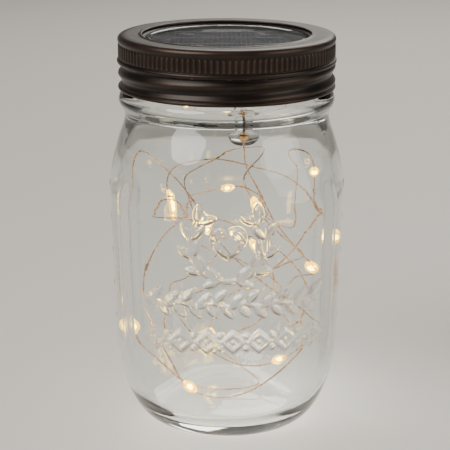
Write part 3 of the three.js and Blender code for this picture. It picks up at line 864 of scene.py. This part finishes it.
def make_jar(material):
    """The jar, whose outside is squarer than its inside and carries the thread and relief."""
    outside, inside = jar_outside(), jar_inside()
    rows = len(outside) - 1

    def move(radius, angle, z):
        shaped = radius * panel_factor(angle, z, INNER_POWER)
        shaped[:rows] = radius[:rows] * panel_factor(angle[:rows], z[:rows])
        neck = (z > NECK_FOOT) & (radius > THREAD_ROOT - 0.4)
        shaped = shaped + np.where(neck, glass_thread(angle, z), 0.0)
        relief = jar_relief(shaped[:rows], angle[:rows], z[:rows])
        may_carry = (z[:rows] > RELIEF_Z[0]) & (z[:rows] < RELIEF_Z[1])
        shaped[:rows] += np.where(may_carry, relief, 0.0)
        return shaped

    jar = revolve("jar_glass", outside + inside, jar_angles(), material, move)
    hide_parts("glass_jar")
    jar.visible_shadow = False      # it would come out darker than real glass's
    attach(jar, "jar")


# ---- screw band ----------------------------------------------------------------------------
def band_profile():
    """Up the outside of the pressed band, over its lip and down the inside."""
    outer = BAND_RADIUS
    curl = smooth_line([
        (outer - 0.9, BAND_BOTTOM + 0.05), (outer - 0.35, BAND_BOTTOM), (outer - 0.02, 118.2),
        (outer - 0.1, 118.75), (36.5, 119.0),
    ], 0.2)
    rolled = [(ROLLED_OUT, z) for z in np.arange(119.3, 126.4, 0.3)]
    bead = smooth_line([
        (36.45, 126.35), (36.85, 126.55), (37.2, 126.95), (37.25, 127.45), (37.1, 127.85),
        (36.5, 128.15),
    ], 0.14)
    knurled = [(KNURL_FOOT, z) for z in np.arange(KNURL_LOW + 0.15, 133.3, 0.35)]
    shoulder = smooth_line([
        (36.75, 133.6), (36.95, 134.1), (36.95, 134.7), (36.6, 135.4), (35.9, 135.85), (35.0, TOP),
        (32.0, TOP - 0.04), (30.2, TOP - 0.12),
    ], 0.35)
    lip = smooth_line([
        (29.6, TOP - 0.12), (29.2, TOP + 0.1), (28.85, TOP + 0.12), (28.62, TOP - 0.15),
        (28.65, TOP - 0.5), (28.95, TOP - 0.72), (29.4, TOP - 0.78),
    ], 0.12)
    inner = 35.6
    under = smooth_line([
        (31, TOP - 0.8), (34, TOP - 0.8), (35.2, TOP - 1.0), (inner, TOP - 1.6),
    ], 0.6)
    wall = [(inner, z) for z in np.arange(133.5, 127.8, -1.0)]
    waist = [(ROLLED_IN, z) for z in np.arange(126.9, 119.2, -0.5)]
    foot = [(inner - 0.1, 118.7), (inner, 118.2)]
    return curl + rolled + bead + knurled + shoulder + lip + under + wall + waist + foot


def make_band(material):
    """The pressed band, rolled to the glass's thread below and knurled above."""
    def move(radius, angle, z):
        phase = TURN * (z - thread_height(angle)) / THREAD_LEAD
        roll_zone = smoothstep(z, 118.9, 119.9) * (1 - smoothstep(z, 125.9, 126.8))
        rolled = (np.abs(radius - ROLLED_OUT) < 0.01) | (np.abs(radius - ROLLED_IN) < 0.01)
        shaped = radius + np.where(rolled, ROLL * roll_zone * np.cos(phase), 0.0)
        knurl_zone = smoothstep(z, KNURL_LOW, KNURL_LOW + 0.7) * (1 - smoothstep(z, 132.5, 133.4))
        ribs = np.abs(np.cos(KNURLS / 2 * angle))
        on_knurl = (radius > KNURL_FOOT - 0.1) & (z > KNURL_LOW)
        knurl = knurl_zone * (KNURL_DEPTH * (1 - ribs**1.4) - 0.03)
        return shaped + np.where(on_knurl, knurl, 0.0)

    band = revolve("band", band_profile(), even_angles(KNURLS * 5), material, move, closed=True)
    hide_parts("screw_band")
    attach(band, "screw_band")


# ---- insert --------------------------------------------------------------------------------
def make_insert_skin(plastic, rubber, resin):
    """The smooth outsides of the insert: cup and flange, seal, and the resin over the cell."""
    lip = CUP_BOTTOM
    cup = revolve("insert_cup", [
        (0, CUP_CEILING),
        *smooth_line([(22, CUP_CEILING), (25.6, CUP_CEILING), (CUP_IN, CUP_CEILING - 0.5)], 0.5),
        *smooth_line([(CUP_IN, 129), (CUP_IN, 124), (CUP_IN, lip + 0.5)], 1.5),
        *smooth_line([(CUP_IN + 0.2, lip + 0.1), (27.3, lip), (CUP_OUT, lip + 0.4)], 0.2),
        *smooth_line([(CUP_OUT, lip + 1.2), (CUP_OUT, 124), (CUP_OUT, 132.6)], 1.5),
        *smooth_line([(27.9, 133.5), (31, FLANGE_Z), (34.6, FLANGE_Z), (35, FLANGE_Z + 0.3)], 0.4),
        *smooth_line([(35, 134.4), (34.8, 134.8), (34.2, FLANGE_TOP)], 0.2),
        *smooth_line([(31, FLANGE_TOP), (27.7, FLANGE_TOP), (27.4, FLANGE_TOP - 0.3)], 0.4),
        *smooth_line([(27.4, 134), (27.4, 132.9), (26.9, SHELF)], 0.4),
        (12, SHELF), (0, SHELF),
    ], even_angles(160), plastic, cup_ribs)
    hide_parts("insert_housing")

    low, high = RIM + 0.3, RIM + 1.3
    seal = revolve("seal", smooth_line([
        (29.3, low), (32, low), (34.0, low), (34.3, low + 0.2), (34.3, high - 0.2), (34.0, high),
        (32, high), (29.3, high), (29, high - 0.2), (29, low + 0.2),
    ], 0.3), even_angles(120), rubber, closed=True)
    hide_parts("seal_gasket")

    low, high = WINDOW_LOW, WINDOW_HIGH
    window = revolve("window", [
        (0, low), (14, low), *smooth_line([(26, low), (26.9, low + 0.05), (27.1, low + 0.25)], 0.2),
        *smooth_line([(27.1, high - 0.2), (26.9, high - 0.03), (26, high)], 0.15),
        (13, high + 0.08), (0, high + 0.1),
    ], even_angles(120), resin)
    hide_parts("panel_window")
    for piece in (cup, seal, window):
        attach(piece, "light_module")


def cup_ribs(radius, angle, z):
    """Shallow upright grip ribs round the cup, between its rim and its flange."""
    outer = (np.abs(radius - CUP_OUT) < 0.05) & (z > CUP_BOTTOM + 1.7) & (z < 131.5)
    rib = GRIP_RIB * np.clip(np.cos(20 * angle), 0, 1) ** 6
    return radius - np.where(outer, rib, 0.0)


def make_gland(resin, copper):
    """The clear bowl on a stem, with the knotted end of the string's wires cast into it."""
    tip, rim, top = GLAND_TIP, GLAND_TIP + 5.1, COVER_TOP + 1.2
    bowl = revolve("bowl", [
        (0, tip + 0.5), (0.7, tip + 0.35),
        *smooth_line([
            (1.1, tip), (2.4, tip + 0.05), (4.0, tip + 1.1), (5.0, tip + 2.9), (5.3, rim),
        ], 0.35),
        *smooth_line([
            (5.1, rim + 0.35), (4.4, rim + 0.6), (3.3, rim + 0.9), (GLAND_STEM, rim + 1.7),
        ], 0.3),
        (GLAND_STEM, rim + 4), (GLAND_STEM, COVER_Z), (GLAND_STEM, top), (0, top),
    ], even_angles(64), resin)
    cable = revolve("cable", [
        (0, tip + 0.9), (KNOT_WIRE, tip + 0.95), (KNOT_WIRE, tip + 2.2),
        *smooth_line([(0.5, tip + 2.5), (1.2, tip + 3.1), (1.2, tip + 4.3), (0.5, tip + 4.9)], 0.3),
        (KNOT_WIRE, tip + 5.3), (KNOT_WIRE, top - 1.0), (0, top - 0.9),
    ], even_angles(16), copper)
    gland = bpy.data.objects.new("gland", one_mesh("gland", bowl, cable))
    bpy.context.scene.collection.objects.link(gland)
    gland.location = Vector((*GLAND_AT, 0.0)) * MM
    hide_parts("wire_gland")
    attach(gland, "light_module")


def soften(node, width):
    """Rounds the sharp edges of a CAD node."""
    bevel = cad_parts[node].modifiers.new("soften", "BEVEL")
    bevel.width = width * MM
    bevel.segments = 2
    bevel.limit_method = "ANGLE"
    bevel.angle_limit = math.radians(40)


def paint(node, material):
    """Gives a CAD node a material in place of its own."""
    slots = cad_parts[node].data.materials
    slots.clear()
    slots.append(material)


def paint_inner_parts(plastic):
    """Materials for the CAD nodes that keep their shapes, inside and under the insert."""
    steel = metal_material("nickel_steel", (0.60, 0.59, 0.56), 0.28)
    board = board_material()
    looks = {
        "bottom_cover": plastic, "battery_tray": plastic, "switch_knob": plastic,
        "cover_screw_1": steel, "cover_screw_2": steel, "cover_screw_3": steel,
        "positive_contact": steel, "negative_spring": steel, "switch_body": steel,
        "solar_board": dull_material("dark_mask", (0.008, 0.009, 0.014)), "circuit_board": board,
        "solar_cell": cell_material(), "battery_cell": sleeve_material(),
        "driver_chip": dull_material("chip_epoxy", (0.016, 0.016, 0.017)),
        "inductor": dull_material("ferrite", (0.05, 0.047, 0.05), 600.0),
        "capacitor": metal_material("capacitor_can", (0.66, 0.66, 0.67), 0.34),
    }
    for node, material in looks.items():
        paint(node, material)
    for node in ("bottom_cover", "switch_knob", "switch_body", "battery_tray", "driver_chip"):
        soften(node, 0.2)


# ---- studio --------------------------------------------------------------------------------
def make_floor():
    """A pale round floor with a low curved rim; the dark room above it draws the glass."""
    flat, bend, sides = 1.4, 0.4, 96
    rings = [(flat - 0.2, 0.0)]
    for a in np.linspace(0, math.pi / 2, 14):
        rings.append((flat + bend * math.sin(a), bend * (1 - math.cos(a))))
    vertices = [(r * math.cos(a), r * math.sin(a), z) for r, z in rings for a in even_angles(sides)]
    faces = [list(range(sides))]
    faces += [face[::-1] for face in grid_faces(len(rings), sides)]
    shader = Shader("pale_floor", (0.62, 0.60, 0.57), 0.55)
    shader.rough(shader.span(shader.noise(8.0), 0.5, 0.6))
    link("floor", vertices, faces, shader.material)


def make_light(name, place, power, color):
    """A disc of light, aimed at the middle of the jar."""
    aim = Vector((0.0, 0.0, 0.07)) - Vector(place)
    data = bpy.data.lights.new(name, "AREA")
    data.shape = "DISK"
    data.size = 0.9
    data.energy = power
    data.color = color
    light = bpy.data.objects.new(name, data)
    light.location = place
    light.rotation_euler = aim.to_track_quat("-Z", "Y").to_euler()
    bpy.context.scene.collection.objects.link(light)


def make_studio():
    """The floor, three soft lights and a dim warm room."""
    make_floor()
    make_light("key", (-0.75, -0.55, 0.95), 19.0, (1.0, 0.96, 0.90))
    make_light("fill", (0.95, -0.45, 0.55), 6.0, (1.0, 0.95, 0.88))
    make_light("back", (0.25, 0.95, 0.85), 9.0, (1.0, 0.95, 0.88))
    world = bpy.data.worlds.new("studio")
    world.use_nodes = True
    room = world.node_tree.nodes["Background"].inputs
    room["Color"].default_value = (0.92, 0.90, 0.87, 1.0)
    room["Strength"].default_value = 0.10
    bpy.context.scene.world = world


make_camera()
copper = wire_material()
make_light_string(copper)
make_jar(glass_material())
make_band(band_material())
black = plastic_material()
resin = resin_material()
make_insert_skin(black, rubber_material(), resin)
make_gland(resin, copper)
paint_inner_parts(black)
make_studio()
